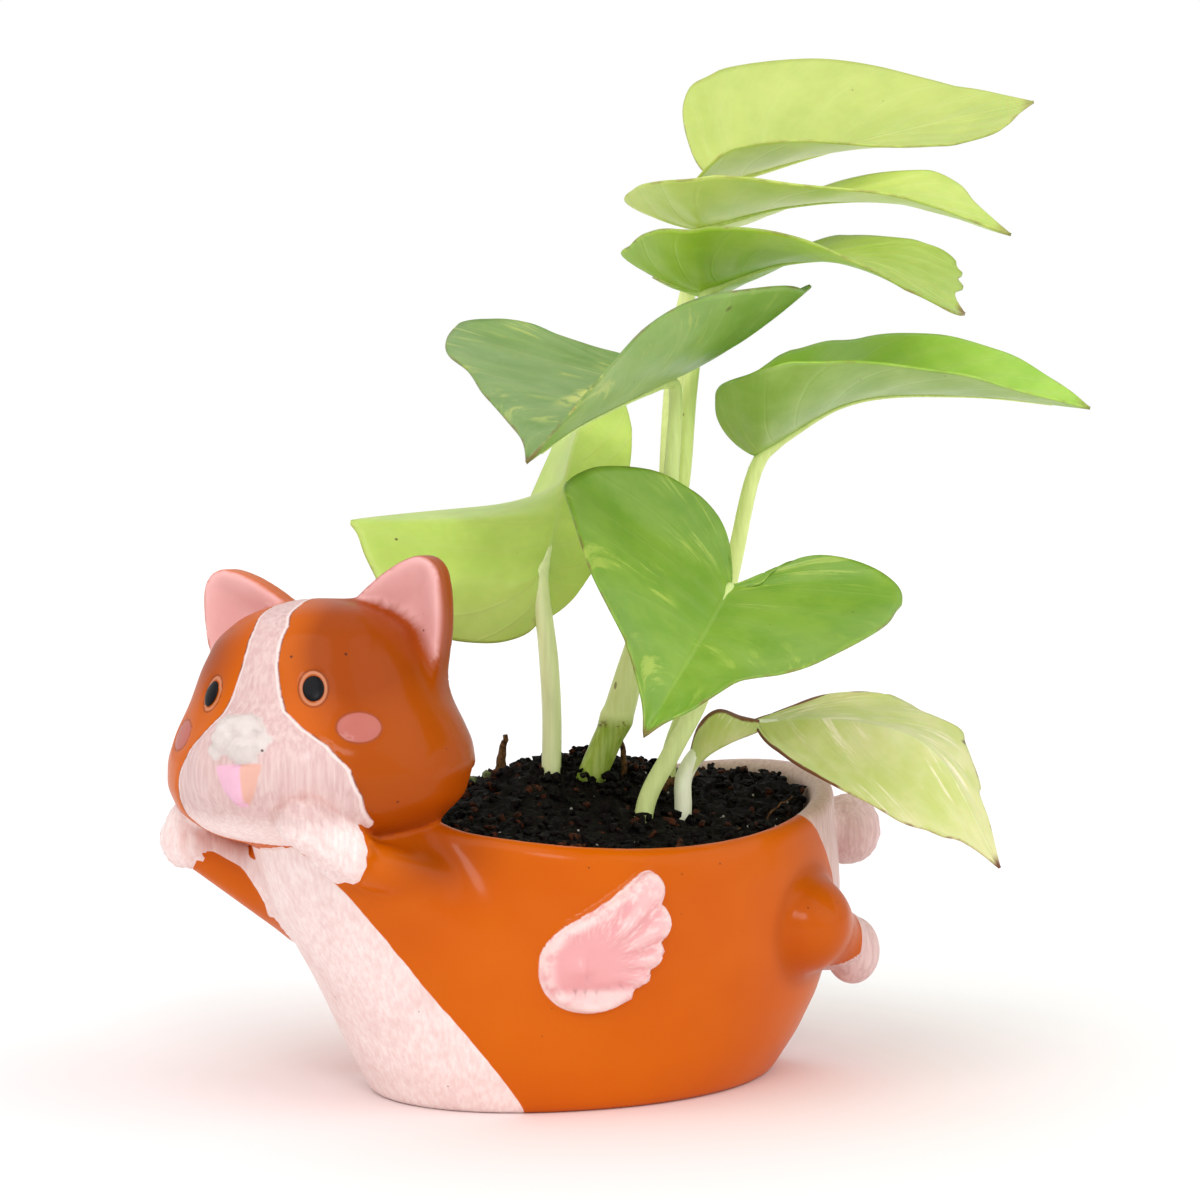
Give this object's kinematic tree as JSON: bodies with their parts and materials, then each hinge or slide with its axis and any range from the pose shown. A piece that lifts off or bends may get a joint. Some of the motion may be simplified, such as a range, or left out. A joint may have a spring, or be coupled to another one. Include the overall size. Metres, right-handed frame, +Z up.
{
  "type": "potted neon pothos in a winged puppy planter",
  "caption": "Small cast planter shaped as a winged puppy lying on its belly, filled with soil and young pothos cuttings with heart-shaped leaves.",
  "frame": {"origin": "centre of the planter's flat oval base, on the surface it stands on", "axes": "+Z up, -Y the way the puppy faces, +X its left side; the front view of the cuttings is turned 55 degrees from -Y toward +X"},
  "size_m": [0.1188, 0.1909, 0.2137],
  "materials": {
    "painted_resin": "satin hand-painted orange and pale pink cast resin",
    "soil": "dark loose potting mix",
    "stem": "smooth green vine stem, waxy",
    "leaf_lime": "waxy lime green leaf",
    "leaf_green": "waxy mid green leaf with pale flecks",
    "leaf_dark": "waxy dark green leaf with a pale streak",
    "leaf_pale": "pale yellow-green leaf, browned at its edges"
  },
  "bodies": {
    "root": {"planter": "painted_resin", "soil": "soil", "stem_main": "stem", "leaf_top": "leaf_lime", "leaf_second": "leaf_lime", "leaf_third": "leaf_green", "leaf_dark": "leaf_dark", "leaf_right": "leaf_green", "leaf_heart": "leaf_green", "leaf_low": "leaf_pale", "leaf_back": "leaf_pale"}
  },
  "joints": []
}
